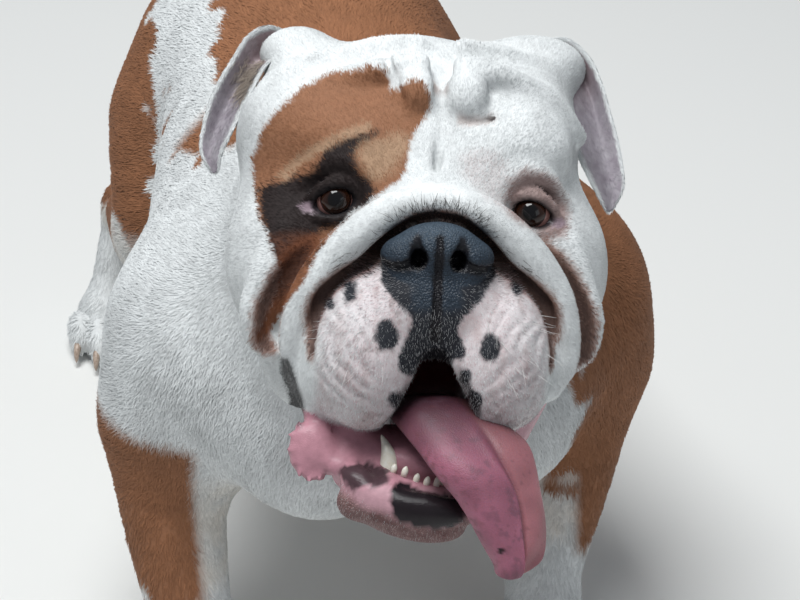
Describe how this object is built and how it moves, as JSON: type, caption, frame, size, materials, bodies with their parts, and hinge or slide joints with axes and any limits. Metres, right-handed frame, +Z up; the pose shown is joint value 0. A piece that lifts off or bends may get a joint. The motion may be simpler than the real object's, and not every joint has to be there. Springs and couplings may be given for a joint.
{
  "type": "english bulldog",
  "caption": "Life-size English bulldog standing on all paws, head raised and turned a little, mouth open with the tongue hanging out to one side",
  "frame": {"origin": "on the floor, under the middle of the bounding box", "axes": "+Z up; the dog faces -Y with its left side towards +X"},
  "size_m": [0.363, 0.7438, 0.4799],
  "materials": {
    "coat_white": "short white coat",
    "coat_tan": "short reddish brown coat",
    "skin_pink": "moist pink skin",
    "nose_black": "moist pebbled black skin",
    "eye_dark": "wet dark brown"
  },
  "bodies": {
    "root": {"head": "coat_white", "muzzle": "coat_white", "nose": "nose_black", "lower_jaw": "skin_pink", "tongue": "skin_pink", "ear_left": "coat_white", "ear_right": "coat_white", "eye_left": "eye_dark", "eye_right": "eye_dark", "neck": "coat_white", "chest": "coat_white", "belly": "coat_tan", "hindquarters": "coat_tan", "tail": "coat_white", "foreleg_left": "coat_tan", "foreleg_right": "coat_tan", "fore_paw_left": "coat_white", "fore_paw_right": "coat_white", "thigh_left": "coat_tan", "thigh_right": "coat_tan", "hind_leg_left": "coat_white", "hind_leg_right": "coat_white", "hind_paw_left": "coat_white", "hind_paw_right": "coat_white"}
  },
  "joints": []
}
